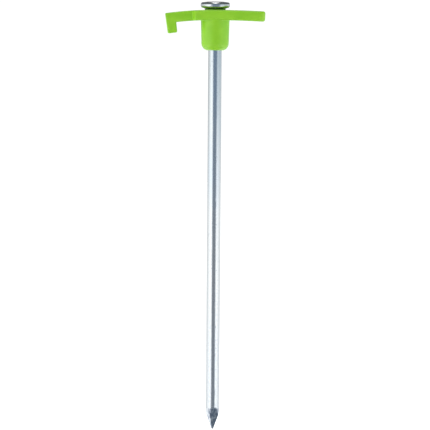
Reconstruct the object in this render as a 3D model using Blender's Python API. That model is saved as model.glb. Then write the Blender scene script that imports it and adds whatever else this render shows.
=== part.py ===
"""A nail-type tent stake: a headed steel nail with a hook head moulded in plastic round its shank.

Blender 4.5, metres, +Z up. The tip of the nail is at the origin and its shank runs up the Z axis. The
hook head lies along X, with its hook at -X, and turns about the shank.
"""

import math

import bmesh
import bpy

# The nail, measured from its tip.
OVERALL_LENGTH = 0.2540
SHANK_DIAMETER = 0.00794
POINT_LENGTH = 0.0124
POINT_BLUNT = 0.0008
POINT_FLATS = 4
POINT_TURN = math.radians(24)
NAIL_HEAD_DIAMETER = 0.0173
NAIL_HEAD_EDGE = 0.0033
NAIL_HEAD_EDGE_ROUND = 0.0013
CROWN_RISE = 0.0004
CROWN_FLAT_DIAMETER = 0.0076
UNDERSIDE_DROP = 0.0003
NECK_FILLET = 0.0004

# Clearances between the hook head and the nail.
HEAD_CLEARANCE = 0.0003
BORE_CLEARANCE = 0.0003
BORE_LEAD_IN = 0.0005

# The hook head's bar, whose two arms droop on arcs from the shank to their ends.
BAR_HALF_LENGTH = 0.02975
BAR_THICKNESS = 0.0061
BAR_DEPTH = 0.0176
BAR_EDGE_ROUND = 0.0011
GRIP_ARM_ARCH = 0.575
GRIP_END_ROUND = 0.0036

# The hook arm is thinner from front to back than the bar, and its finger keeps the line on.
HOOK_ARM_ARCH = 0.206
HOOK_ARM_DEPTH = 0.0112
HOOK_ARM_EDGE_ROUND = 0.0006
HOOK_ARM_STEP = 0.0118
HOOK_ARM_STEP_RUN = 0.0018
FINGER_WIDTH = 0.0060
FINGER_DROP = 0.0061

# The collar under the bar, and the low seat on top of it that the nail's head bears on.
COLLAR_TOP_DIAMETER = 0.0170
COLLAR_BOTTOM_DIAMETER = 0.0162
COLLAR_HEIGHT = 0.0182
COLLAR_BOTTOM_ROUND = 0.0042
SEAT_DIAMETER = 0.0124
SEAT_HEIGHT = 0.0006

# How finely curves are divided.
ROUND_SIDES = 48
ARCH_STEPS = 6
CORNER_STEPS = 5
EDGE_SEGMENTS = 3
SHARP_ANGLE = math.radians(32)

# How far a cutter or a form reaches past the faces it cuts or joins.
OVERREACH = 0.002

# Where the pieces lie on the shank.
UNDERSIDE_Z = OVERALL_LENGTH - CROWN_RISE - NAIL_HEAD_EDGE - UNDERSIDE_DROP
SEAT_Z = UNDERSIDE_Z - HEAD_CLEARANCE


def clear_scene():
    """Empty the file of the objects it opened with."""
    for obj in list(bpy.data.objects):
        bpy.data.objects.remove(obj, do_unlink=True)


def make_material(name, color, roughness, metallic):
    """A plain finish of one colour."""
    material = bpy.data.materials.new(name)
    material.use_nodes = True
    shader = material.node_tree.nodes["Principled BSDF"]
    shader.inputs["Base Color"].default_value = (*color, 1.0)
    shader.inputs["Roughness"].default_value = roughness
    shader.inputs["Metallic"].default_value = metallic
    return material


def make_object(name, form, material):
    """An object from a bmesh, shaded smooth but for its sharp edges."""
    bmesh.ops.recalc_face_normals(form, faces=form.faces)
    mesh = bpy.data.meshes.new(name)
    form.to_mesh(mesh)
    form.free()
    mesh.materials.append(material)
    mesh.shade_smooth()
    mesh.set_sharp_from_angle(angle=SHARP_ANGLE)
    obj = bpy.data.objects.new(name, mesh)
    bpy.context.scene.collection.objects.link(obj)
    return obj


def arc(centre, radius, start, end, steps):
    """Points on an arc about centre, from the angle start to the angle end, in degrees."""
    points = []
    for step in range(steps + 1):
        angle = math.radians(start + (end - start) * step / steps)
        across = centre[0] + radius * math.cos(angle)
        up = centre[1] + radius * math.sin(angle)
        points.append((across, up))
    return points


def turned(name, profile, material):
    """A solid turned about Z from (radius, height) points that start and end on the axis."""
    form = bmesh.new()
    chain = [form.verts.new((radius, 0.0, height)) for radius, height in profile]
    edges = [form.edges.new(pair) for pair in zip(chain, chain[1:])]
    bmesh.ops.spin(
        form,
        geom=chain + edges,
        axis=(0.0, 0.0, 1.0),
        cent=(0.0, 0.0, 0.0),
        steps=ROUND_SIDES,
        angle=math.tau,
        use_merge=True,
    )
    bmesh.ops.remove_doubles(form, verts=form.verts, dist=1e-6)
    return make_object(name, form, material)


def combine(target, tool, operation):
    """Join, cut or trim target with a tool that stays hidden."""
    modifier = target.modifiers.new(f"{operation.lower()} {tool.name}", "BOOLEAN")
    modifier.operation = operation
    modifier.object = tool
    tool.hide_render = True
    tool.display_type = "WIRE"


def make_nail(steel):
    """The shank, its upset head and its four-sided point, forged in one piece."""
    shank_radius = SHANK_DIAMETER / 2
    head_radius = NAIL_HEAD_DIAMETER / 2
    shoulder_z = OVERALL_LENGTH - CROWN_RISE
    rim_radius = head_radius - NAIL_HEAD_EDGE_ROUND
    upper = (rim_radius, shoulder_z - NAIL_HEAD_EDGE_ROUND)
    lower = (rim_radius, shoulder_z - NAIL_HEAD_EDGE + NAIL_HEAD_EDGE_ROUND)
    neck = (shank_radius + NECK_FILLET, UNDERSIDE_Z - NECK_FILLET)

    profile = [(0.0, OVERALL_LENGTH), (CROWN_FLAT_DIAMETER / 2, OVERALL_LENGTH)]
    profile += arc(upper, NAIL_HEAD_EDGE_ROUND, 90, 0, CORNER_STEPS)
    profile += arc(lower, NAIL_HEAD_EDGE_ROUND, 0, -90, CORNER_STEPS)
    profile += arc(neck, NECK_FILLET, 90, 180, CORNER_STEPS)
    profile += [(shank_radius, 0.0), (0.0, 0.0)]
    nail = turned("nail", profile, steel)

    # The point is what lies inside a pyramid whose flats leave the shank at POINT_LENGTH, the front
    # one facing -Y turned by POINT_TURN.
    slope = (shank_radius - POINT_BLUNT / 2) / POINT_LENGTH
    reach = OVERALL_LENGTH + OVERREACH
    half_flat = math.pi / POINT_FLATS
    corner_share = 1 / math.cos(half_flat)
    form = bmesh.new()
    bmesh.ops.create_cone(
        form,
        cap_ends=True,
        segments=POINT_FLATS,
        radius1=corner_share * POINT_BLUNT / 2,
        radius2=corner_share * (POINT_BLUNT / 2 + slope * reach),
        depth=reach,
    )
    bmesh.ops.translate(form, verts=form.verts, vec=(0.0, 0.0, reach / 2))
    point_form = make_object("point_form", form, steel)
    point_form.rotation_euler.z = POINT_TURN - math.pi / 2 - half_flat
    combine(nail, point_form, "INTERSECT")
    return nail


def arch_point(station, depth_below):
    """Where a station along the bar's arch lies, as (across, up), with the bar's top at 0 on the axis.

    A station is a distance along the top of the bar, and is negative on the hook arm.
    """
    arch_radius = HOOK_ARM_ARCH if station < 0 else GRIP_ARM_ARCH
    angle = station / arch_radius
    radius = arch_radius - depth_below
    return (radius * math.sin(angle), radius * math.cos(angle) - arch_radius)


def between(start, end):
    """Stations from start up to but not including end, evenly spaced."""
    return [start + (end - start) * step / ARCH_STEPS for step in range(ARCH_STEPS)]


def hook_end_station():
    """The station of the hook arm's end, whose top corner is half the bar's length from the axis."""
    return -HOOK_ARM_ARCH * math.asin(BAR_HALF_LENGTH / HOOK_ARM_ARCH)


def bar_sections():
    """The (station, half depth) pairs that shape the bar as seen from above, hook end first."""
    half_arm = HOOK_ARM_DEPTH / 2
    half_bar = BAR_DEPTH / 2
    hook_end = hook_end_station()
    step_foot = -HOOK_ARM_STEP - HOOK_ARM_STEP_RUN
    grip_end = GRIP_ARM_ARCH * math.asin(BAR_HALF_LENGTH / GRIP_ARM_ARCH)
    end_round = (grip_end - GRIP_END_ROUND, half_bar - GRIP_END_ROUND)
    sections = [(hook_end, half_arm)]
    sections += [(station, half_arm) for station in between(hook_end + FINGER_WIDTH, step_foot)]
    sections += [(step_foot, half_arm)]
    sections += [(station, half_bar) for station in between(-HOOK_ARM_STEP, 0.0)]
    sections += [(station, half_bar) for station in between(0.0, end_round[0])]
    sections += arc(end_round, GRIP_END_ROUND, 90, 0, CORNER_STEPS)
    return sections


def make_bar(plastic):
    """The bar and its finger: a box section carried along the arch, with its edges rounded."""
    form = bmesh.new()
    loops = []
    for station, half_depth in bar_sections():
        top = arch_point(station, 0.0)
        under = arch_point(station, BAR_THICKNESS)
        corners = [(top, -half_depth), (top, half_depth), (under, half_depth), (under, -half_depth)]
        loops.append([form.verts.new((across, y, up)) for (across, up), y in corners])
    form.faces.new(loops[0])
    form.faces.new(loops[-1])
    for near, far in zip(loops, loops[1:]):
        for side in range(4):
            after = (side + 1) % 4
            form.faces.new((near[side], near[after], far[after], far[side]))

    # The finger is pulled out of the underside of the arm's last section, towards the arch's centre.
    foot = {*loops[0][2:], *loops[1][2:]}
    finger_foot = next(face for face in form.faces if set(face.verts) == foot)
    pulled = bmesh.ops.extrude_face_region(form, geom=[finger_foot])
    bmesh.ops.delete(form, geom=[finger_foot], context="FACES_ONLY")
    outside = hook_end_station()
    inside = outside + FINGER_WIDTH
    for vert in (item for item in pulled["geom"] if isinstance(item, bmesh.types.BMVert)):
        station = outside if vert.co.x < loops[1][2].co.x else inside
        vert.co.x, vert.co.z = arch_point(station, BAR_THICKNESS + FINGER_DROP)

    # A bevel weight is a share of the bar's own edge round, and the hook's edges are rounded less.
    form.normal_update()
    weight = form.edges.layers.float.new("bevel_weight_edge")
    for edge in form.edges:
        middle = (edge.verts[0].co.x + edge.verts[1].co.x) / 2
        if edge.calc_face_angle(0.0) > SHARP_ANGLE:
            edge[weight] = HOOK_ARM_EDGE_ROUND / BAR_EDGE_ROUND if middle < -HOOK_ARM_STEP else 1.0
    bar = make_object("hook_head", form, plastic)
    bevel = bar.modifiers.new("edge rounds", "BEVEL")
    bevel.width = BAR_EDGE_ROUND
    bevel.segments = EDGE_SEGMENTS
    bevel.limit_method = "WEIGHT"
    bevel.loop_slide = False
    bevel.use_clamp_overlap = False
    return bar


def make_hook_head(plastic):
    """The bar, hook, collar and seat, moulded in one piece with a bore that turns on the shank."""
    hook_head = make_bar(plastic)

    # The collar and the seat are one turned form whose middle lies inside the bar.
    collar_bottom = -BAR_THICKNESS - COLLAR_HEIGHT
    bottom_radius = COLLAR_BOTTOM_DIAMETER / 2
    bottom_centre = (bottom_radius - COLLAR_BOTTOM_ROUND, collar_bottom + COLLAR_BOTTOM_ROUND)
    inside_bar = -BAR_THICKNESS / 2
    profile = [(0.0, SEAT_HEIGHT), (SEAT_DIAMETER / 2, SEAT_HEIGHT)]
    profile += [(SEAT_DIAMETER / 2, inside_bar), (COLLAR_TOP_DIAMETER / 2, inside_bar)]
    profile += [(COLLAR_TOP_DIAMETER / 2, -BAR_THICKNESS)]
    profile += arc(bottom_centre, COLLAR_BOTTOM_ROUND, 0, -90, CORNER_STEPS)
    profile += [(0.0, collar_bottom)]
    collar_form = turned("collar_form", profile, plastic)
    combine(hook_head, collar_form, "UNION")

    # The bore runs right through, opening out by its lead-in at both mouths.
    bore_radius = SHANK_DIAMETER / 2 + BORE_CLEARANCE
    mouth_radius = bore_radius + BORE_LEAD_IN + OVERREACH
    profile = [(0.0, SEAT_HEIGHT + OVERREACH), (mouth_radius, SEAT_HEIGHT + OVERREACH)]
    profile += [(bore_radius, SEAT_HEIGHT - BORE_LEAD_IN)]
    profile += [(bore_radius, collar_bottom + BORE_LEAD_IN)]
    profile += [(mouth_radius, collar_bottom - OVERREACH), (0.0, collar_bottom - OVERREACH)]
    bore_form = turned("bore_form", profile, plastic)
    combine(hook_head, bore_form, "DIFFERENCE")

    # The forms move with the hook head, whose origin is on the shank's axis at the top of its bar.
    collar_form.parent = hook_head
    bore_form.parent = hook_head
    hook_head.location.z = SEAT_Z - SEAT_HEIGHT
    return hook_head


def main():
    """Build the stake."""
    clear_scene()
    steel = make_material("galvanised_steel", (0.60, 0.63, 0.66), 0.28, 1.0)
    plastic = make_material("lime_plastic", (0.25, 0.55, 0.055), 0.35, 0.0)
    make_nail(steel)
    make_hook_head(plastic)


main()
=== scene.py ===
"""The looks of a nail-type tent stake: a zinc-plated nail with a lime hook head moulded round its shank.

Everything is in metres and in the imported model's own frame. The tip of the nail is at the origin, its
shank runs up the Z axis, the hook lies towards -X and the front faces -Y.
"""

from __future__ import annotations

import logging
import math
from dataclasses import dataclass
from enum import Enum
from typing import Any, Mapping, Sequence, Union

import bmesh
import bpy
import numpy as np
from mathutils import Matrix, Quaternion, Vector


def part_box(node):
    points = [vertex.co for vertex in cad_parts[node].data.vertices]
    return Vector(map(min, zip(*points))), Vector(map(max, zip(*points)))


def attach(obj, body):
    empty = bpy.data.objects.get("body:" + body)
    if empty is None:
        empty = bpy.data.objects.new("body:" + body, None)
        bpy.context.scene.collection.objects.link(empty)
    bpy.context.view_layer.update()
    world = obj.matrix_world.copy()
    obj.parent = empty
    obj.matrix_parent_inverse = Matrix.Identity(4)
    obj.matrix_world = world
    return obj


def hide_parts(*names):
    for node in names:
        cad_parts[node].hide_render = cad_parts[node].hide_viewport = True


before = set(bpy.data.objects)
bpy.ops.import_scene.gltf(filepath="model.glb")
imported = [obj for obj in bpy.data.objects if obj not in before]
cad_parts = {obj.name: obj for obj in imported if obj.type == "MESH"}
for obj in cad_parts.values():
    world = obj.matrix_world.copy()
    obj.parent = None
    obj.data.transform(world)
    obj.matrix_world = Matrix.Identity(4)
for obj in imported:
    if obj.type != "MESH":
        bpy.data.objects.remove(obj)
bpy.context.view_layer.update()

log = logging.getLogger("tent_stake")

MM = 0.001
SMOOTH_BELOW = math.radians(34)
MERGE_BELOW = 6e-6

Pair = tuple[float, float]
Triple = tuple[float, float, float]
Colour = Triple
Stops = Sequence[tuple[float, Colour]]
Operand = Union["Signal", float]


class Body(str, Enum):
    """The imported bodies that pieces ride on, each with one CAD node of the same name."""

    NAIL = "nail"
    HOOK_HEAD = "hook_head"


class Slot(str, Enum):
    """The record's material slots."""

    STEEL = "galvanised_steel"
    PLASTIC = "lime_plastic"


# ---------------------------------------------------------------------------------------------------
# Curves and surfaces
# ---------------------------------------------------------------------------------------------------


def eased(low: float, high: float, value: np.ndarray) -> np.ndarray:
    """A step from 0 at low to 1 at high: 3t^2 - 2t^3 of the share t that value has come.

    Args:
        low: Where the step starts.
        high: Where it ends; it may lie below low, and then the step falls.
        value: The positions to read it at.

    Returns:
        The step at each position.
    """
    share = np.clip((value - low) / (high - low), 0.0, 1.0)
    return share * share * (3.0 - 2.0 * share)


def arc(centre: Pair, radius: float, start: float, end: float, steps: int) -> np.ndarray:
    """Points on an arc: centre + radius (cos a, sin a), with a going evenly from start to end.

    Args:
        centre: The arc's centre.
        radius: Its radius.
        start: The first angle, in degrees.
        end: The last angle, in degrees.
        steps: How many chords it has.

    Returns:
        (steps + 1, 2) points.
    """
    angle = np.radians(np.linspace(start, end, steps + 1))
    return np.stack([centre[0] + radius * np.cos(angle), centre[1] + radius * np.sin(angle)], axis=1)


def line(start: Pair, end: Pair, steps: int) -> np.ndarray:
    """Points along a straight line, without its last point: start + t (end - start).

    Args:
        start: The first point.
        end: Where the line goes.
        steps: How many points it has.

    Returns:
        (steps, 2) points.
    """
    share = np.linspace(0.0, 1.0, steps + 1)[:-1, None]
    return np.array(start) + share * (np.array(end) - np.array(start))


def turned(profile: np.ndarray, angles: np.ndarray) -> np.ndarray:
    """A surface turned about Z: (r cos a, r sin a, h) of each profile point (r, h) and each angle a.

    Args:
        profile: (rows, 2) radii and heights.
        angles: (columns,) angles in radians, once round.

    Returns:
        (rows, columns, 3) points.
    """
    radius, height = profile[:, :1], profile[:, 1:]
    across = radius * np.cos(angles)
    deep = radius * np.sin(angles)
    return np.stack([across, deep, np.broadcast_to(height, across.shape)], axis=-1)


def tube_mesh(name: str, grid: np.ndarray) -> bpy.types.Mesh:
    """A closed mesh from a grid whose columns wrap round and whose end rows close on their middles.

    Args:
        name: The mesh's name.
        grid: (rows, columns, 3) points.

    Returns:
        The mesh, with its faces pointing outwards.
    """
    rows, columns = grid.shape[:2]
    index = np.arange(rows * columns).reshape(rows, columns)
    after = np.roll(index, -1, axis=1)
    quads = np.stack([index[:-1], after[:-1], after[1:], index[1:]], axis=-1).reshape(-1, 4)
    start, end = rows * columns, rows * columns + 1
    first = np.stack([after[0], index[0], np.full(columns, start)], axis=-1)
    last = np.stack([index[-1], after[-1], np.full(columns, end)], axis=-1)
    points = np.concatenate([grid.reshape(-1, 3), grid[0].mean(0)[None], grid[-1].mean(0)[None]])

    # Six times the enclosed volume is the sum of a . (b x c) over the triangles.
    corners = np.concatenate([quads[:, [0, 1, 2]], quads[:, [0, 2, 3]], first, last])
    a, b, c = points[corners[:, 0]], points[corners[:, 1]], points[corners[:, 2]]
    if np.einsum("ij,ij->", a, np.cross(b, c)) < 0.0:
        quads, first, last = quads[:, ::-1], first[:, ::-1], last[:, ::-1]

    mesh = bpy.data.meshes.new(name)
    mesh.from_pydata(points.tolist(), [], quads.tolist() + first.tolist() + last.tolist())
    mesh.validate()
    return mesh


def sheet_mesh(name: str, grid: np.ndarray, middle: bool = False) -> bpy.types.Mesh:
    """An open mesh from a grid whose columns wrap round.

    Args:
        name: The mesh's name.
        grid: (rows, columns, 3) points.
        middle: Whether a face closes the first row.

    Returns:
        The mesh.
    """
    index = np.arange(grid.shape[0] * grid.shape[1]).reshape(grid.shape[:2])
    after = np.roll(index, -1, axis=1)
    quads = np.stack([index[:-1], index[1:], after[1:], after[:-1]], axis=-1).reshape(-1, 4)
    mesh = bpy.data.meshes.new(name)
    closing = [index[0].tolist()] if middle else []
    mesh.from_pydata(grid.reshape(-1, 3).tolist(), [], quads.tolist() + closing)
    return mesh


def placed(name: str, mesh: bpy.types.Mesh) -> bpy.types.Object:
    """Put a mesh in the scene, at the origin, shaded smooth but for its sharp edges.

    Args:
        name: The object's name.
        mesh: Its mesh.

    Returns:
        The object.
    """
    mesh.shade_smooth()
    mesh.set_sharp_from_angle(angle=SMOOTH_BELOW)
    piece = bpy.data.objects.new(name, mesh)
    bpy.context.scene.collection.objects.link(piece)
    return piece


def cleaned(mesh: bpy.types.Mesh) -> None:
    """Merge the points and dissolve the slivers that a Boolean leaves where two surfaces nearly touch.

    Args:
        mesh: The mesh that changes.
    """
    work = bmesh.new()
    work.from_mesh(mesh)
    bmesh.ops.remove_doubles(work, verts=work.verts, dist=MERGE_BELOW)
    bmesh.ops.dissolve_degenerate(work, edges=work.edges, dist=MERGE_BELOW)
    bmesh.ops.triangulate(work, faces=[face for face in work.faces if len(face.verts) > 4])
    work.to_mesh(mesh)
    work.free()


class Join(str, Enum):
    """How one closed form changes another."""

    ADD = "UNION"
    CUT = "DIFFERENCE"


def combined(piece: bpy.types.Object, form: bpy.types.Object, how: Join) -> None:
    """Join a form to a piece, or cut it out, for good, and discard the form.

    Args:
        piece: The piece that changes.
        form: The form that it is joined to or cut with.
        how: Which of the two.
    """
    change = piece.modifiers.new(how.value, "BOOLEAN")
    change.operation = how.value
    change.solver = "EXACT"
    change.object = form
    graph = bpy.context.evaluated_depsgraph_get()
    result = bpy.data.meshes.new_from_object(piece.evaluated_get(graph))
    piece.modifiers.clear()
    was, piece.data = piece.data, result
    bpy.data.meshes.remove(was)
    bpy.data.objects.remove(form, do_unlink=True)
    result.name = piece.name
    cleaned(result)
    result.shade_smooth()
    result.set_sharp_from_angle(angle=SMOOTH_BELOW)


# ---------------------------------------------------------------------------------------------------
# Shader maths
# ---------------------------------------------------------------------------------------------------


@dataclass(frozen=True)
class Cloud:
    """Cloudy noise: how fine it is, how its coordinates are stretched and moved, and its finer octaves."""

    scale: float
    stretch: Triple = (1.0, 1.0, 1.0)
    shift: Triple = (0.0, 0.0, 0.0)
    detail: float = 2.0
    roughness: float = 0.5


class Graph:
    """A node tree that is written as expressions."""

    def __init__(self, tree: bpy.types.NodeTree) -> None:
        """Empty the tree, ready to be written."""
        self.tree = tree
        tree.nodes.clear()

    def node(
        self,
        kind: str,
        settings: Mapping[str, Any] | None = None,
        inputs: Mapping[Union[int, str], Any] | None = None,
    ) -> bpy.types.Node:
        """Add one node.

        Args:
            kind: The node's type.
            settings: Its properties, set first; "stops" gives a ramp's (position, colour) pairs.
            inputs: Numbers, colours, signals or sockets for its input sockets.

        Returns:
            The node.
        """
        made = self.tree.nodes.new(kind)
        for key, value in (settings or {}).items():
            if key == "stops":
                self._stops(made.color_ramp, value)
            else:
                setattr(made, key, value)
        for key, value in (inputs or {}).items():
            socket = made.inputs[key]
            if isinstance(value, Signal):
                self.tree.links.new(value.socket, socket)
            elif isinstance(value, bpy.types.NodeSocket):
                self.tree.links.new(value, socket)
            else:
                socket.default_value = value
        return made

    @staticmethod
    def _stops(ramp: bpy.types.ColorRamp, stops: Stops) -> None:
        """Give a colour ramp its stops.

        Args:
            ramp: The ramp.
            stops: Two or more pairs of a position from 0 to 1 and a colour.
        """
        while len(ramp.elements) < len(stops):
            ramp.elements.new(1.0)
        for element, (position, colour) in zip(ramp.elements, stops):
            element.position = position
            element.color = (*colour, 1.0)

    def coordinates(self) -> bpy.types.NodeSocket:
        """Where a point lies on its object, in metres."""
        return self.node("ShaderNodeTexCoord").outputs["Object"]

    def axes(self) -> tuple["Signal", "Signal", "Signal"]:
        """The three coordinates of a point on its object."""
        split = self.node("ShaderNodeSeparateXYZ", None, {0: self.coordinates()})
        return tuple(Signal(self, split.outputs[axis]) for axis in range(3))

    def noise(self, cloud: Cloud) -> "Signal":
        """Cloudy noise between 0 and 1, about 0.5 on the average.

        Args:
            cloud: Its scale and octaves, and the coordinates it reads.

        Returns:
            The noise.
        """
        where = {"Vector": self.coordinates(), "Scale": cloud.stretch, "Location": cloud.shift}
        inputs = {
            "Vector": self.node("ShaderNodeMapping", None, where).outputs[0],
            "Scale": cloud.scale,
            "Detail": cloud.detail,
            "Roughness": cloud.roughness,
        }
        return Signal(self, self.node("ShaderNodeTexNoise", None, inputs).outputs[0])

    def step(self, value: "Signal", low: float, high: float) -> "Signal":
        """A smooth step from 0 where value is low to 1 where it is high.

        Args:
            value: The number that varies.
            low: Where the step starts.
            high: Where it ends; it may lie below low, and then the step falls as value grows.

        Returns:
            The step.
        """
        settings = {"interpolation_type": "SMOOTHSTEP", "clamp": True}
        turned_round = high < low
        ends = {"Value": value, "From Min": min(low, high), "From Max": max(low, high)}
        made = Signal(self, self.node("ShaderNodeMapRange", settings, ends).outputs[0])
        return 1.0 - made if turned_round else made

    def ramp(self, value: "Signal", stops: Stops) -> bpy.types.NodeSocket:
        """The colour of a ramp at value, which runs from 0 to 1."""
        return self.node("ShaderNodeValToRGB", {"stops": stops}, {0: value}).outputs[0]

    def mixed(self, share: Operand, first: Any, second: Any) -> bpy.types.NodeSocket:
        """A colour between two others.

        Args:
            share: How much of the second there is, from 0 to 1.
            first: A colour, or a colour socket.
            second: A colour, or a colour socket.

        Returns:
            The mixed colour.
        """
        inputs = {0: share}
        for key, value in ((6, first), (7, second)):
            inputs[key] = value if isinstance(value, bpy.types.NodeSocket) else (*value, 1.0)
        return self.node("ShaderNodeMix", {"data_type": "RGBA"}, inputs).outputs[2]

    def bumped(self, relief: "Signal") -> bpy.types.NodeSocket:
        """The normals of a surface that stands up by relief, in metres."""
        inputs = {"Height": relief / MM, "Distance": MM, "Strength": 1.0}
        return self.node("ShaderNodeBump", None, inputs).outputs[0]

    def surface(self, shader: bpy.types.Node) -> None:
        """Give the material its surface."""
        self.node("ShaderNodeOutputMaterial", None, {0: shader.outputs[0]})


class Signal:
    """A number that varies over a surface. Python's operators on it add Math nodes."""

    def __init__(self, graph: Graph, socket: bpy.types.NodeSocket) -> None:
        """Wrap an output socket of a graph."""
        self.graph = graph
        self.socket = socket

    def _math(self, operation: str, *operands: Operand) -> "Signal":
        """The result of one Math node."""
        made = self.graph.node("ShaderNodeMath", {"operation": operation}, dict(enumerate(operands)))
        return Signal(self.graph, made.outputs[0])

    def __add__(self, other: Operand) -> "Signal":
        """self + other."""
        return self._math("ADD", self, other)

    __radd__ = __add__

    def __sub__(self, other: Operand) -> "Signal":
        """self - other."""
        return self._math("SUBTRACT", self, other)

    def __rsub__(self, other: Operand) -> "Signal":
        """other - self."""
        return self._math("SUBTRACT", other, self)

    def __mul__(self, other: Operand) -> "Signal":
        """self * other."""
        return self._math("MULTIPLY", self, other)

    __rmul__ = __mul__

    def __truediv__(self, other: Operand) -> "Signal":
        """self / other."""
        return self._math("DIVIDE", self, other)

    def __abs__(self) -> "Signal":
        """The size of self."""
        return self._math("ABSOLUTE", self)

    def root(self) -> "Signal":
        """The square root of self."""
        return self._math("SQRT", self)

    def bearing(self, ahead: "Signal") -> "Signal":
        """The angle whose tangent is self / ahead, in radians."""
        return self._math("ARCTAN2", self, ahead)


def new_material(name: str) -> tuple[bpy.types.Material, Graph]:
    """Make a material that is ready to be written.

    Args:
        name: The material's name.

    Returns:
        The material and its empty graph.
    """
    material = bpy.data.materials.new(name)
    material.use_nodes = True
    return material, Graph(material.node_tree)


# ---------------------------------------------------------------------------------------------------
# Finishes
# ---------------------------------------------------------------------------------------------------


@dataclass(frozen=True)
class ZincPlate:
    """Bright zinc plating with a clear blue passivation, over drawn and die-forged steel."""

    silver: Colour = (0.685, 0.692, 0.695)
    blue: Colour = (0.57, 0.64, 0.71)
    bloom: Colour = (0.65, 0.64, 0.60)
    die_shade: Colour = (0.17, 0.21, 0.29)
    roughness: float = 0.13
    roughness_spread: float = 0.12
    waviness: float = 70e-6
    draw_line_height: float = 5e-6
    spangle_height: float = 13e-6
    pit_depth: float = 9e-6
    die_mark_depth: float = 48e-6
    blow_depth: float = 10e-6
    dulled: Cloud = Cloud(95.0, (1.0, 1.0, 0.35), detail=3.0, roughness=0.55)
    tinted: Cloud = Cloud(60.0, (1.0, 1.0, 0.22), (3.1, 0.7, 5.2))
    draw_lines: Cloud = Cloud(5200.0, (1.0, 1.0, 0.012), detail=3.0, roughness=0.6)
    specks: Cloud = Cloud(900.0, (1.0, 1.0, 0.7), (8.0, 2.0, 1.0))
    waves: Cloud = Cloud(150.0, (1.0, 1.0, 0.6), (0.3, 4.0, 2.2), detail=1.0)
    blows: Cloud = Cloud(430.0, shift=(5.0, 1.0, 3.0))
    spangle: Cloud = Cloud(1250.0, (1.0, 1.0, 0.5), (2.0, 6.0, 9.0), roughness=0.65)
    die_marks: Cloud = Cloud(520.0, (1.0, 1.0, 0.6), detail=3.0, roughness=0.6)

    # Each of these comes in between the first height and the second.
    forged: Pair = (13.2 * MM, 11.6 * MM)
    struck: Pair = (253.3 * MM, 253.6 * MM)
    grainy: Pair = (165.0 * MM, 85.0 * MM)
    shank_blue: Pair = (60.0 * MM, 210.0 * MM)
    under_head: Pair = (252.0 * MM, 240.0 * MM)

    def material(self) -> bpy.types.Material:
        """Build the plating: its tint, dulled clouds, spangle, pits, draw lines, die marks and blows.

        Returns:
            The material.
        """
        material, graph = new_material("zinc_plate")
        _, _, height = graph.axes()
        clouds, tint = graph.noise(self.dulled), graph.noise(self.tinted)
        lines, waves = graph.noise(self.draw_lines), graph.noise(self.waves)
        spangle = graph.noise(self.spangle)
        grainy = 0.3 + 0.7 * graph.step(height, *self.grainy)
        pits = graph.step(graph.noise(self.specks), 0.34, 0.24)
        forged = graph.step(height, *self.forged)
        mottle = graph.step(graph.noise(self.die_marks), 0.66, 0.38) * forged
        blows = graph.step(graph.noise(self.blows), 0.28, 0.74) * graph.step(height, *self.struck)

        # The blue deepens towards the collar, and the head has none.
        blued = graph.step(tint, 0.36, 0.66) * (0.25 + 0.75 * graph.step(height, *self.shank_blue))
        blued = blued * graph.step(height, *self.under_head)
        colour = graph.mixed(blued, self.silver, self.blue)
        colour = graph.mixed(graph.step(clouds, 0.56, 0.78) * 0.55, colour, self.bloom)
        colour = graph.mixed(pits * 0.45, colour, self.die_shade)
        colour = graph.mixed(graph.step(spangle, 0.56, 0.36) * grainy * 0.12, colour, self.die_shade)
        colour = graph.mixed(mottle * 0.85, colour, self.die_shade)
        roughness = self.roughness + clouds * self.roughness_spread + lines * 0.05 + pits * 0.15
        roughness = roughness + forged * 0.10 + blows * 0.16
        relief = waves * self.waviness + lines * self.draw_line_height - pits * self.pit_depth
        relief = relief + spangle * grainy * self.spangle_height
        relief = relief - mottle * self.die_mark_depth - blows * self.blow_depth
        shader = graph.node(
            "ShaderNodeBsdfPrincipled",
            None,
            {
                "Base Color": colour,
                "Metallic": 1.0,
                "Roughness": roughness,
                "Normal": graph.bumped(relief),
            },
        )
        graph.surface(shader)
        return material


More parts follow.
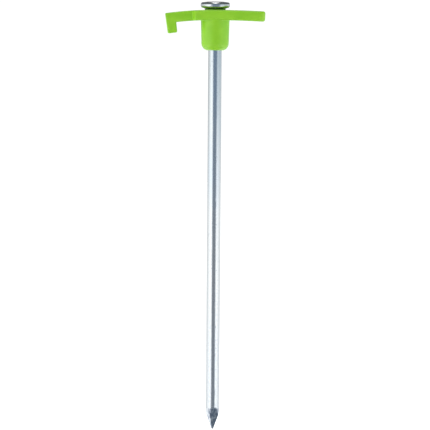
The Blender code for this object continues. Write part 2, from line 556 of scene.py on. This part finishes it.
@dataclass(frozen=True)
class LimePlastic:
    """Lime polypropylene as it leaves a spark-eroded mould, with its parting line and pin marks."""

    lime: Colour = (0.345, 0.70, 0.030)
    lime_deep: Colour = (0.285, 0.64, 0.020)
    scuffed: Colour = (0.52, 0.78, 0.16)
    # Painted shade: the seat under the nail head is darkened towards this deep green between these heights,
    # standing in for the head's shadow.
    painted_seat_shade: Colour = (0.035, 0.11, 0.004)
    painted_shade_heights: Pair = (249.1 * MM, 249.35 * MM)
    roughness: float = 0.36
    translucency: float = 0.15
    scatter: float = 0.9 * MM
    grain: float = 48e-6
    parting_ridge: float = 60e-6
    parting_width: float = 0.13 * MM
    scratch_depth: float = 10e-6
    line_zone: Pair = (-22.5 * MM, -14.5 * MM)
    line_zone_fade: float = 2.0 * MM
    line_zone_below: float = 244.0 * MM
    back: Pair = (7.0 * MM, 7.6 * MM)
    pin_depth: float = 60e-6
    pin_radius: float = 1.5 * MM
    flow: Cloud = Cloud(130.0, (0.6, 1.0, 1.4), (1.0, 0.0, 4.0), detail=3.0)
    eroded: Cloud = Cloud(3400.0, roughness=0.6)
    scratched: Cloud = Cloud(2600.0, (0.16, 1.0, 1.0), (2.0, 7.0, 0.0))
    pin_centres: tuple[Pair, ...] = ((-18.6, 245.4), (0.0, 246.2), (19.5, 245.8), (0.0, 231.5))

    def material(self) -> bpy.types.Material:
        """Build the plastic: flow clouds, grain, the parting line, pin marks, scuffs, a rubbed patch and
        painted shade under the nail head.

        Returns:
            The material.
        """
        material, graph = new_material("lime_plastic_moulded")
        across, deep, height = graph.axes()
        flow, grain = graph.noise(self.flow), graph.noise(self.eroded)
        scratches = graph.noise(self.scratched)
        worn = graph.step(scratches, 0.66, 0.76) * graph.step(flow, 0.45, 0.70)

        # The mould's halves meet on the plane through the shank, and the flash they leave is trimmed.
        parting = graph.step(abs(deep), self.parting_width, 0.25 * self.parting_width)
        parting = parting * graph.step(grain, 0.30, 0.60)

        # Each ejector pin leaves a shallow ring on the back: |distance from its centre - its radius|.
        rings: Operand = 0.0
        for pin_across, pin_height in self.pin_centres:
            aside = across - pin_across * MM
            above = height - pin_height * MM
            away = abs((aside * aside + above * above).root() - self.pin_radius)
            rings = graph.step(away, 0.14 * MM, 0.03 * MM) + rings
        rings = rings * graph.step(deep, *self.back)

        colour = graph.mixed(graph.step(flow, 0.30, 0.72), self.lime_deep, self.lime)
        colour = graph.mixed(worn * 0.5, colour, self.scuffed)
        colour = graph.mixed(parting * 0.35, colour, self.scuffed)
        # Painted shade: the seat under the nail head is darkened as if in the head's shadow, a little broken
        # up by the flow clouds.
        painted_seat_shade = graph.step(height, *self.painted_shade_heights) * graph.step(flow, 0.15, 0.40)
        colour = graph.mixed(painted_seat_shade * 0.72, colour, self.painted_seat_shade)

        # A guy line polishes the underside of the hook arm, between the finger and the step.
        (start, end), fade, level = self.line_zone, self.line_zone_fade, self.line_zone_below
        rubbed = graph.step(across, start, start + fade) * graph.step(across, end, end - fade)
        rubbed = rubbed * graph.step(height, level, level - fade) * graph.step(scratches, 0.35, 0.60)
        colour = graph.mixed(rubbed * 0.35, colour, self.scuffed)
        roughness = self.roughness + (grain - 0.5) * 0.16 + (flow - 0.5) * 0.12
        roughness = roughness + worn * 0.12 - rubbed * 0.14
        relief = grain * self.grain + parting * self.parting_ridge
        relief = relief - rings * self.pin_depth - worn * self.scratch_depth
        shader = graph.node(
            "ShaderNodeBsdfPrincipled",
            None,
            {
                "Base Color": colour,
                "Roughness": roughness,
                "IOR": 1.49,
                "Subsurface Weight": self.translucency,
                "Subsurface Scale": self.scatter,
                "Subsurface Radius": (0.7, 1.0, 0.25),
                "Normal": graph.bumped(relief),
            },
        )
        graph.surface(shader)
        return material


# ---------------------------------------------------------------------------------------------------
# The nail
# ---------------------------------------------------------------------------------------------------


@dataclass(frozen=True)
class Dent:
    """A shallow nick in the shank: its height, its bearing from the front, its width and its depth."""

    height: float
    bearing: float
    width: float
    depth: float


@dataclass
class Nail:
    """The steel nail: an upset head with a low crown, a drawn shank and a point pinched four-sided."""

    shank_radius: float = 3.97 * MM
    head_radius: float = 8.65 * MM
    head_edge: float = 3.3 * MM
    head_edge_round: float = 1.3 * MM
    crown_rise: float = 0.4 * MM
    crown_flat_radius: float = 3.8 * MM
    washer_radius: float = 5.9 * MM
    washer_drop: float = 0.55 * MM
    neck_fillet: float = 0.4 * MM
    point_length: float = 12.4 * MM
    point_blunt: float = 0.8 * MM
    point_turn: float = math.radians(24)
    point_sides: int = 4
    ridge_sharpness: float = 15.0
    flats_sharpness: float = 26.0
    tip_round: float = 0.4 * MM
    columns: int = 144
    dents: tuple[Dent, ...] = (
        Dent(21.9 * MM, 14.0, 0.75 * MM, 0.075 * MM),
        Dent(134.0 * MM, 12.0, 0.65 * MM, 0.045 * MM),
        Dent(136.6 * MM, 20.0, 0.50 * MM, 0.035 * MM),
        Dent(92.0 * MM, -9.0, 0.70 * MM, 0.030 * MM),
        Dent(187.0 * MM, 4.0, 0.55 * MM, 0.025 * MM),
        Dent(61.0 * MM, 16.0, 0.60 * MM, 0.040 * MM),
    )

    def profile(self, top: float) -> np.ndarray:
        """The nail's outline from the middle of its crown down to its tip, before the point is pinched.

        Args:
            top: The height of the crown.

        Returns:
            (rows, 2) radii and heights.
        """
        shoulder = top - self.crown_rise
        rim = self.head_radius - self.head_edge_round
        underside = shoulder - self.head_edge - self.washer_drop
        radii = np.linspace(0.25 * MM, rim, 24)[:-1]

        # The dome falls a quarter too far, a little beyond the rim, and is held at the shoulder.
        crown = top - self.crown_rise * eased(self.crown_flat_radius, rim * 1.12, radii) * 1.25
        crown = np.maximum(crown, shoulder)
        below_neck = underside - self.neck_fillet
        neck = (self.shank_radius + self.neck_fillet, below_neck)
        flats_top = self.point_length + 1.2 * MM
        last_rows = np.array([0.30, 0.20, 0.12, 0.06, 0.02]) * MM
        radius = self.shank_radius
        return np.concatenate([
            np.stack([radii, crown], axis=1),
            arc((rim, shoulder - self.head_edge_round), self.head_edge_round, 90, 0, 14),
            arc((rim, shoulder - self.head_edge + self.head_edge_round), self.head_edge_round, 0, -90, 14),
            line((rim - 0.1 * MM, underside + self.washer_drop * 0.97), (self.washer_radius, underside), 6),
            line((self.washer_radius, underside), (neck[0] + 0.1 * MM, underside), 5),
            arc(neck, self.neck_fillet, 90, 180, 6),
            line((radius, below_neck - 0.2 * MM), (radius, flats_top), 230),
            line((radius, flats_top), (radius, self.tip_round), 120),
            np.stack([np.full_like(last_rows, radius), last_rows], axis=1),
        ])

    def pinched(self, grid: np.ndarray) -> np.ndarray:
        """Pinch the point: pull each ring in to the flats where they lie inside the shank.

        A flat k has the support d / cos(a - a_k), where d grows evenly from the blunt tip's half width to
        the shank's radius. The four are joined by a power mean, which rounds the ridges, and the least
        of that and the ring's own radius is taken softly. The last rings close as a quarter circle.

        Args:
            grid: The turned surface.

        Returns:
            The surface with its point.
        """
        across, deep, height = grid[..., 0], grid[..., 1], grid[..., 2]
        radius = np.hypot(across, deep)
        angle = np.arctan2(deep, across)
        slope = (self.shank_radius - self.point_blunt / 2) / self.point_length
        half_width = self.point_blunt / 2 + slope * height
        turns = self.point_turn - math.pi / 2 + np.arange(self.point_sides) * math.tau / self.point_sides
        facing = np.maximum(np.cos(angle[..., None] - turns), 1e-3)
        facing = (facing**self.ridge_sharpness).sum(-1) ** (1.0 / self.ridge_sharpness)
        flat = half_width / facing
        power = self.flats_sharpness
        pinched = (radius**-power + flat**-power) ** (-1.0 / power)
        ratio = pinched / np.maximum(radius, 1e-9)
        fade = eased(self.point_length * 1.6, self.point_length * 1.25, height)
        ratio = 1.0 + (ratio - 1.0) * fade
        blunt = self.tip_round
        closing = np.sqrt(np.clip(1.0 - ((blunt - height) / blunt) ** 2, 0.02, 1.0))
        ratio = ratio * np.where(height < blunt, closing, 1.0)
        return np.stack([across * ratio, deep * ratio, height], axis=-1)

    def dented(self, grid: np.ndarray) -> np.ndarray:
        """Press the dents in: each draws the surface to the axis by depth x exp(-(distance / width)^2).

        Args:
            grid: The nail's surface.

        Returns:
            The surface with its dents.
        """
        across, deep, height = grid[..., 0], grid[..., 1], grid[..., 2]
        radius = np.maximum(np.hypot(across, deep), 1e-9)
        bearing = np.arctan2(across, -deep)
        press = np.zeros_like(radius)
        for dent in self.dents:
            aside = (bearing - math.radians(dent.bearing)) * radius
            away = (aside**2 + ((height - dent.height) * 0.6) ** 2) / dent.width**2
            press += dent.depth * np.exp(-away)
        keep = 1.0 - press / radius
        return np.stack([across * keep, deep * keep, height], axis=-1)

    def build(self, finish: bpy.types.Material) -> bpy.types.Object:
        """Make the nail and set it on its body.

        Args:
            finish: The steel's material.

        Returns:
            The nail.
        """
        low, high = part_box(Body.NAIL.value)
        first_ridge = self.point_turn - math.pi / 2 + math.pi / self.point_sides
        angles = first_ridge + np.arange(self.columns) * math.tau / self.columns
        grid = self.dented(self.pinched(turned(self.profile(high.z), angles)))
        mesh = tube_mesh("nail_steel", grid)
        mesh.vertices[-1].co.z = low.z
        mesh.vertices[-2].co.z = high.z
        nail = placed("nail_steel", mesh)
        mesh.materials.append(finish)
        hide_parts(Body.NAIL.value)
        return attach(nail, Body.NAIL.value)


# ---------------------------------------------------------------------------------------------------
# The hook head
# ---------------------------------------------------------------------------------------------------


@dataclass
class HookHead:
    """The moulding: an arched bar with a grip arm and a hook, a collar under it and a seat on top."""

    half_length: float = 29.75 * MM
    thickness: float = 6.1 * MM
    half_depth: float = 8.8 * MM
    edge_round: float = 1.3 * MM
    grip_arch: float = 575.0 * MM
    grip_end_round: float = 3.6 * MM
    hook_arch: float = 206.0 * MM
    arm_half_depth: float = 5.6 * MM
    arm_edge_round: float = 0.9 * MM
    step_top: float = 11.8 * MM
    step_run: float = 1.8 * MM
    step_round: float = 0.22 * MM
    finger_width: float = 6.0 * MM
    finger_drop: float = 6.1 * MM
    throat_fillet: float = 0.6 * MM
    corner_sharpness: float = 26.0
    collar_top_radius: float = 8.5 * MM
    collar_bottom_radius: float = 8.1 * MM
    collar_height: float = 17.95 * MM
    collar_bottom_round: float = 4.2 * MM
    collar_root_fillet: float = 0.5 * MM
    seat_radius: float = 6.2 * MM
    seat_height: float = 0.6 * MM
    bore_radius: float = 4.27 * MM
    lead_in: float = 0.5 * MM
    seat_edge_round: float = 0.18 * MM
    columns: int = 96

    def arch(self, station: np.ndarray, below: np.ndarray) -> np.ndarray:
        """Where a station along the bar lies: ((R - b) sin(s / R), (R - b) cos(s / R) - R).

        Args:
            station: Distances s along the top of the bar, negative on the hook arm.
            below: Depths b under the bar's top.

        Returns:
            (n, 2) points across and up, with the bar's top at 0 on the axis.
        """
        bend = np.where(station < 0.0, self.hook_arch, self.grip_arch)
        angle = station / bend
        radius = bend - below
        return np.stack([radius * np.sin(angle), radius * np.cos(angle) - bend], axis=-1)

    @staticmethod
    def rounded_in(distance: np.ndarray, radius: float) -> np.ndarray:
        """How far a round R has drawn in at a distance x from the end: R - sqrt(R^2 - (R - x)^2)."""
        short = np.clip(radius - distance, 0.0, radius)
        return radius - np.sqrt(radius**2 - short**2)

    def stations(self) -> dict[str, np.ndarray]:
        """The sections along the bar, from the finger's tip, up the finger, round the corner and along.

        Round the corner the sections fan out from the centre of the throat's fillet. The outer end of
        each is where its ray meets the finger's back or the arm's top, and the least of the two is taken
        by a power mean, which rounds the outer corner.

        Returns:
            Outer and inner (station, depth) points, half depths, edge rounds and how far each is drawn in.
        """
        hook_end = -self.hook_arch * math.asin(self.half_length / self.hook_arch)
        grip_end = self.grip_arch * math.asin(self.half_length / self.grip_arch)
        fillet, arm = self.throat_fillet, self.arm_edge_round

        # The finger, from its tip upwards.
        tip = self.thickness + self.finger_drop
        rounding = arm * (1.0 - np.sin(np.radians(np.linspace(90, 0, 8))))
        straight = np.linspace(arm + 0.25 * MM, self.finger_drop - fillet - 0.2 * MM, 12)
        rise = np.concatenate([rounding, straight])
        depth = tip - rise
        finger_out = np.stack([np.full_like(depth, hook_end), depth], axis=-1)
        finger_in = np.stack([np.full_like(depth, hook_end + self.finger_width), depth], axis=-1)
        finger_draw = self.rounded_in(rise, arm)

        # The corner.
        fan = np.radians(np.linspace(0, 90, 31))
        reach_back = (self.finger_width + fillet) / np.maximum(np.cos(fan), 1e-6)
        reach_top = (self.thickness + fillet) / np.maximum(np.sin(fan), 1e-6)
        power = self.corner_sharpness
        reach = (reach_back**-power + reach_top**-power) ** (-1.0 / power)
        towards = np.stack([-np.cos(fan), -np.sin(fan)], axis=-1)
        centre = np.array([hook_end + self.finger_width + fillet, self.thickness + fillet])
        corner_out = centre + reach[:, None] * towards
        corner_in = centre + fillet * towards

        # The arm, the step, the hub and the grip arm with its rounded end.
        foot = -self.step_top - self.step_run
        grip_round = self.grip_end_round * (1.0 - np.sin(np.radians(np.linspace(0, 90, 12))))
        edge_round = self.edge_round * (1.0 - np.sin(np.radians(np.linspace(0, 90, 9))))
        end = np.unique(np.round(np.concatenate([grip_round, edge_round]), 6))[::-1]
        along = np.concatenate([
            np.linspace(centre[0] + 0.2 * MM, foot - 0.6 * MM, 14),
            np.linspace(foot - 0.45 * MM, -self.step_top + 0.45 * MM, 25),
            np.linspace(-self.step_top + 0.7 * MM, grip_end - self.grip_end_round - 0.3 * MM, 56),
            grip_end - end,
        ])
        bar_out = np.stack([along, np.zeros_like(along)], axis=-1)
        bar_in = np.stack([along, np.full_like(along, self.thickness)], axis=-1)

        # The half depth climbs the step evenly, and its corners are eased by a short running mean.
        taps = np.linspace(-self.step_round, self.step_round, 9)
        climb = np.clip((along[:, None] + taps - foot) / self.step_run, 0.0, 1.0).mean(1)
        half = self.arm_half_depth + (self.half_depth - self.arm_half_depth) * climb
        rounds = arm + (self.edge_round - arm) * climb
        to_end = grip_end - along
        hook_part = len(finger_out) + len(corner_out)
        hook_draw = np.concatenate([finger_draw, np.zeros(len(corner_out))])
        return {
            "outer": np.concatenate([finger_out, corner_out, bar_out]),
            "inner": np.concatenate([finger_in, corner_in, bar_in]),
            "half": np.concatenate([np.full(hook_part, self.arm_half_depth), half]),
            "round": np.concatenate([np.full(hook_part, arm), rounds]),
            "draw": np.concatenate([hook_draw, self.rounded_in(to_end, self.edge_round)]),
            "draw_side": np.concatenate([hook_draw, self.rounded_in(to_end, self.grip_end_round)]),
        }

    @staticmethod
    def section() -> tuple[np.ndarray, np.ndarray, np.ndarray]:
        """The columns of a rounded box section, once round.

        A column is at (side x (half depth - round) + round cos a, rise x (half height - round) + round
        sin a). On a corner side and rise hold at +1 or -1 while a turns, and on a flat a holds.

        Returns:
            The sides, the rises and the angles a.
        """
        turn = np.radians(np.linspace(0, 90, 7))
        flat = np.array([0.94, 0.6, 0.2, -0.2, -0.6, -0.94])
        ones = np.ones_like(turn)
        hold = np.ones_like(flat)
        side = [ones, flat, -ones, -hold, -ones, -flat, ones, hold]
        rise = [ones, hold, ones, flat, -ones, -hold, -ones, -flat]
        quarter = math.pi / 2
        angle = [
            turn, hold * quarter, turn + quarter, hold * 2 * quarter,
            turn + 2 * quarter, hold * 3 * quarter, turn + 3 * quarter, hold * 0.0,
        ]
        return np.concatenate(side), np.concatenate(rise), np.concatenate(angle)

    def bar_grid(self) -> np.ndarray:
        """The bar and its finger: a rounded box section carried along from the finger to the grip's end.

        Returns:
            (sections, columns, 3) points, with the bar's top at 0 on the axis.
        """
        at = self.stations()
        outer = self.arch(at["outer"][:, 0], at["outer"][:, 1])
        inner = self.arch(at["inner"][:, 0], at["inner"][:, 1])
        span = outer - inner
        height = np.hypot(span[:, 0], span[:, 1])
        up = span / height[:, None]
        middle = (outer + inner) / 2
        side, rise, angle = self.section()
        soft = np.maximum(at["round"] - at["draw"], 0.02 * MM)[:, None]
        half_height = (height / 2 - at["draw"])[:, None]
        half_depth = (at["half"] - at["draw_side"])[:, None]
        deep = side * (half_depth - soft) + soft * np.cos(angle)
        tall = rise * (half_height - soft) + soft * np.sin(angle)
        across = middle[:, :1] + tall * up[:, :1]
        level = middle[:, 1:] + tall * up[:, 1:]
        return np.stack([across, deep, level], axis=-1)

    def collar_grid(self) -> np.ndarray:
        """The collar and the seat, turned: a drafted side, a full round below, and a low disc on top.

        The collar's root swells into the bar's underside by a small fillet on the left and the right
        only, where there is an underside: the swell is multiplied by cos^2 of the angle from X.

        Returns:
            (rows, columns, 3) points, with the bar's top at 0 on the axis.
        """
        under = -self.thickness
        bottom = under - self.collar_height
        inside = under / 2
        ease = self.seat_edge_round
        centre = (self.collar_bottom_radius - self.collar_bottom_round, bottom + self.collar_bottom_round)
        seat_corner = (self.seat_radius - ease, self.seat_height - ease)
        profile = np.concatenate([
            line((0.4 * MM, self.seat_height), (seat_corner[0], self.seat_height), 8),
            arc(seat_corner, ease, 90, 0, 6),
            line((self.seat_radius, self.seat_height - ease - 0.1 * MM), (self.seat_radius, inside), 3),
            line((self.seat_radius + 0.1 * MM, inside), (self.collar_top_radius, inside), 3),
            line((self.collar_top_radius, inside), (self.collar_top_radius, under + 0.2 * MM), 4),
            line(
                (self.collar_top_radius, under + 0.2 * MM),
                (self.collar_bottom_radius, bottom + self.collar_bottom_round),
                44,
            ),
            arc(centre, self.collar_bottom_round, 0, -90, 18),
            line((centre[0] - 0.2 * MM, bottom), (0.3 * MM, bottom), 6),
        ])
        angles = np.arange(self.columns) * math.tau / self.columns
        grid = turned(profile, angles)
        short = np.clip(self.collar_root_fillet - (under - profile[:, 1]), 0.0, self.collar_root_fillet)
        swell = self.collar_root_fillet - np.sqrt(self.collar_root_fillet**2 - short**2)
        swell = np.where(profile[:, 1] < inside - 0.1 * MM, swell, 0.0)
        growth = 1.0 + swell[:, None] * np.cos(angles) ** 2 / profile[:, :1]
        grid[..., :2] *= growth[..., None]
        return grid

    def bore_grid(self) -> np.ndarray:
        """The bore, turned: a straight hole that opens by its lead-in at both mouths.

        Returns:
            (rows, columns, 3) points, with the bar's top at 0 on the axis.
        """
        past = 2.0 * MM
        top = self.seat_height
        bottom = -self.thickness - self.collar_height
        wide = self.bore_radius + self.lead_in + past
        profile = np.concatenate([
            line((0.3 * MM, top + past), (wide, top + past), 3),
            line((wide, top + past), (self.bore_radius, top - self.lead_in), 8),
            line((self.bore_radius, top - self.lead_in), (self.bore_radius, bottom + self.lead_in), 24),
            line((self.bore_radius, bottom + self.lead_in), (wide, bottom - past), 8),
            line((wide, bottom - past), (0.2 * MM, bottom - past), 4),
        ])
        return turned(profile, np.arange(self.columns) * math.tau / self.columns)

    def build(self, finish: bpy.types.Material) -> bpy.types.Object:
        """Make the moulding in one closed shell and set it on its body.

        Args:
            finish: The plastic's material.

        Returns:
            The hook head.
        """
        _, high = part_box(Body.HOOK_HEAD.value)
        lift = np.array([0.0, 0.0, high.z - self.seat_height])
        head = placed("hook_head_moulding", tube_mesh("hook_head_moulding", self.bar_grid() + lift))
        collar = placed("collar_form", tube_mesh("collar_form", self.collar_grid() + lift))
        combined(head, collar, Join.ADD)
        bore = placed("bore_form", tube_mesh("bore_form", self.bore_grid() + lift))
        combined(head, bore, Join.CUT)
        head.data.materials.clear()
        head.data.materials.append(finish)
        weighted = head.modifiers.new("flat faces shade flat", "WEIGHTED_NORMAL")
        weighted.keep_sharp = True
        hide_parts(Body.HOOK_HEAD.value)
        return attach(head, Body.HOOK_HEAD.value)


# ---------------------------------------------------------------------------------------------------
# The studio
# ---------------------------------------------------------------------------------------------------


@dataclass(frozen=True)
class Panel:
    """A soft light panel: its name, its place, its width and height, and how bright its face is."""

    name: str
    place: Triple
    size: Pair
    glow: float


@dataclass
class Studio:
    """A light tent with a gap for the lens, a strip light overhead, a pale floor and the camera."""

    tent_radius: float = 0.45
    tent_columns: int = 96
    tent_rows: int = 13
    tent_low: float = -0.45
    tent_high: float = 0.46
    floor_radius: float = 4.0
    floor_columns: int = 64
    floor_glow: float = 1.02
    strip: Panel = Panel("overhead_strip", (0.0, -0.15, 0.80), (0.26, 0.95), 1.7)
    fills: tuple[Panel, ...] = (
        Panel("left_fill", (-0.42, -0.05, 0.26), (0.24, 0.60), 1.0),
        Panel("right_fill", (0.42, -0.05, 0.26), (0.24, 0.60), 1.2),
        Panel("front_top_fill", (-0.12, -0.52, 0.70), (0.55, 0.35), 2.5),
        Panel("bounce", (0.0, 0.0, 0.004), (1.6, 1.6), 0.5),
    )
    wall_glow: float = 1.0
    high_from: Pair = (0.07, 0.24)
    under_from: Pair = (-0.06, -0.11)
    dark_from: Pair = (0.28, 0.35)
    dark_top: Colour = (0.10, 0.115, 0.125)
    room: Colour = (0.13, 0.145, 0.155)
    backdrop: Colour = (1.05, 1.05, 1.05)
    camera_distance: float = 2.4
    camera_height: float = 0.235
    aim: Pair = (0.00072, 0.12744)
    roll: float = math.radians(0.42)
    framed_height: float = 0.25535

    # Bearings in degrees from the lens, positive to the right, with the wall's glow there.
    glow_high: Stops = (
        (-180, (0.45, 0.47, 0.49)),
        (-125, (0.62, 0.66, 0.68)),
        (-107, (0.85, 0.91, 0.92)),
        (-60, (1.38, 1.48, 1.50)),
        (-37, (1.34, 1.42, 1.45)),
        (-26, (0.23, 0.33, 0.45)),
        (34, (0.22, 0.31, 0.42)),
        (46, (0.70, 0.82, 0.88)),
        (90, (0.66, 0.75, 0.78)),
        (125, (0.80, 0.84, 0.86)),
        (180, (0.45, 0.47, 0.49)),
    )
    glow_low: Stops = (
        (-180, (0.76, 0.78, 0.79)),
        (-112, (1.08, 1.11, 1.12)),
        (-88, (1.36, 1.40, 1.42)),
        (-60, (1.60, 1.64, 1.66)),
        (-31, (1.58, 1.62, 1.66)),
        (-21, (0.29, 0.32, 0.36)),
        (31, (0.28, 0.31, 0.35)),
        (41, (1.52, 1.58, 1.62)),
        (64, (1.58, 1.62, 1.66)),
        (112, (1.06, 1.10, 1.12)),
        (180, (0.76, 0.78, 0.79)),
    )
    glow_under: Stops = (
        (-180, (1.70, 1.72, 1.74)),
        (-96, (1.60, 1.64, 1.66)),
        (-78, (0.22, 0.28, 0.34)),
        (70, (0.22, 0.28, 0.34)),
        (84, (1.40, 1.44, 1.46)),
        (180, (1.70, 1.72, 1.74)),
    )

    @staticmethod
    def as_stops(glow: Stops) -> Stops:
        """Bearings turned into a ramp's positions, once round being 0 to 1."""
        return [((bearing + 180.0) / 360.0, colour) for bearing, colour in glow]

    def glow_material(self) -> bpy.types.Material:
        """The tent's wall: its glow goes round by bearing, and from one ramp to the other by height.

        Returns:
            The material.
        """
        material, graph = new_material("tent_glow")
        across, deep, height = graph.axes()
        bearing = across.bearing(0.0 - deep) / math.tau + 0.5
        high = graph.ramp(bearing, self.as_stops(self.glow_high))
        low = graph.ramp(bearing, self.as_stops(self.glow_low))
        under = graph.ramp(bearing, self.as_stops(self.glow_under))
        wall = graph.mixed(graph.step(height, *self.high_from), low, high)
        wall = graph.mixed(graph.step(height, *self.under_from), wall, under)
        wall = graph.mixed(graph.step(height, *self.dark_from), wall, self.dark_top)
        shader = graph.node("ShaderNodeEmission", None, {0: wall, 1: self.wall_glow})
        graph.surface(shader)
        return material

    def floor_material(self) -> bpy.types.Material:
        """A plain pale floor that the tent's light washes out evenly.

        Returns:
            The material.
        """
        material, graph = new_material("pale_floor")
        shade = graph.noise(Cloud(40.0))
        colour = graph.mixed(shade, (0.90, 0.90, 0.90), (0.94, 0.94, 0.94))
        inputs = {
            "Base Color": colour,
            "Roughness": 0.9,
            "Emission Color": (1.0, 1.0, 1.0, 1.0),
            "Emission Strength": self.floor_glow,
        }
        graph.surface(graph.node("ShaderNodeBsdfPrincipled", None, inputs))
        return material

    def build_tent(self) -> bpy.types.Object:
        """The tent's wall: (R sin a, -R cos a, h) over bearings a and heights h. The lens sees through it.

        Returns:
            The wall.
        """
        bearing = np.radians(np.linspace(-180, 180, self.tent_columns + 1)[:-1])
        height = np.linspace(self.tent_low, self.tent_high, self.tent_rows)
        turn, level = np.meshgrid(bearing, height)
        radius = self.tent_radius
        grid = np.stack([radius * np.sin(turn), -radius * np.cos(turn), level], axis=-1)
        mesh = sheet_mesh("light_tent", grid)
        mesh.materials.append(self.glow_material())
        tent = placed("light_tent", mesh)
        tent.visible_camera = False
        tent.visible_shadow = False
        return tent

    def build_floor(self) -> bpy.types.Object:
        """The floor: a disc (r cos a, r sin a, 0) that the nail's tip stands on.

        Returns:
            The floor.
        """
        radius = np.array([0.01, 0.05, 0.2, 0.8, 2.0, self.floor_radius])
        angle = np.arange(self.floor_columns) * math.tau / self.floor_columns
        grid = turned(np.stack([radius, np.zeros_like(radius)], axis=1), angle)
        mesh = sheet_mesh("floor", grid, middle=True)
        mesh.materials.append(self.floor_material())
        floor = placed("floor", mesh)
        floor.visible_glossy = False
        floor.visible_diffuse = False
        return floor

    @staticmethod
    def build_panel(panel: Panel) -> bpy.types.Object:
        """A light panel that faces down and that the lens doesn't see, of the power glow x pi x area.

        Args:
            panel: Its place, size and glow.

        Returns:
            The panel's light.
        """
        light = bpy.data.lights.new(panel.name, "AREA")
        light.shape = "RECTANGLE"
        light.size, light.size_y = panel.size
        light.energy = panel.glow * math.pi * light.size * light.size_y
        made = bpy.data.objects.new(panel.name, light)
        made.location = panel.place
        made.visible_camera = False
        bpy.context.scene.collection.objects.link(made)
        return made

    def build_fills(self) -> None:
        """Turn soft panels to the hook head: they light the plastic, and the steel doesn't mirror them."""
        target = Vector((0.0, 0.0, self.camera_height))
        for panel in self.fills:
            fill = self.build_panel(panel)
            fill.rotation_mode = "QUATERNION"
            fill.rotation_quaternion = (target - fill.location).to_track_quat("-Z", "Y")
            fill.visible_glossy = False

    def build_world(self) -> None:
        """White behind the object for the lens, and a dim room above the tent for everything else."""
        world = bpy.data.worlds.new("studio")
        bpy.context.scene.world = world
        world.use_nodes = True
        graph = Graph(world.node_tree)
        seen = Signal(graph, graph.node("ShaderNodeLightPath").outputs["Is Camera Ray"])
        colour = graph.mixed(seen, self.room, self.backdrop)
        background = graph.node("ShaderNodeBackground", None, {0: colour, 1: 1.0})
        graph.node("ShaderNodeOutputWorld", None, {0: background.outputs[0]})

    def build_camera(self) -> bpy.types.Object:
        """A long lens, level with the hook head, rolled a little as the stake leans.

        Returns:
            The camera.
        """
        lens = bpy.data.cameras.new("camera")
        camera = bpy.data.objects.new("camera", lens)
        aim = Vector((self.aim[0], 0.0, self.aim[1]))
        camera.location = (aim.x, -self.camera_distance, self.camera_height)
        towards = aim - camera.location
        lens.lens = lens.sensor_width / 2 / (self.framed_height / 2 / towards.length)
        lens.clip_start = 0.05
        lens.clip_end = 50.0
        camera.rotation_mode = "QUATERNION"
        level = towards.to_track_quat("-Z", "Y")
        camera.rotation_quaternion = level @ Quaternion((0.0, 0.0, 1.0), self.roll)
        bpy.context.scene.collection.objects.link(camera)
        bpy.context.scene.camera = camera
        return camera

    def build(self) -> None:
        """Set the whole studio up."""
        bpy.context.scene.view_settings.view_transform = "Standard"
        self.build_world()
        self.build_tent()
        self.build_floor()
        self.build_panel(self.strip)
        self.build_fills()
        self.build_camera()


def main() -> None:
    """Build the studio and the stake, and report each piece."""
    logging.basicConfig(level=logging.INFO, format="%(name)s: %(message)s")
    Studio().build()
    for piece in (Nail().build(ZincPlate().material()), HookHead().build(LimePlastic().material())):
        log.info("%s: %d vertices, %d faces", piece.name, len(piece.data.vertices), len(piece.data.polygons))


if __name__ == "__main__":
    main()
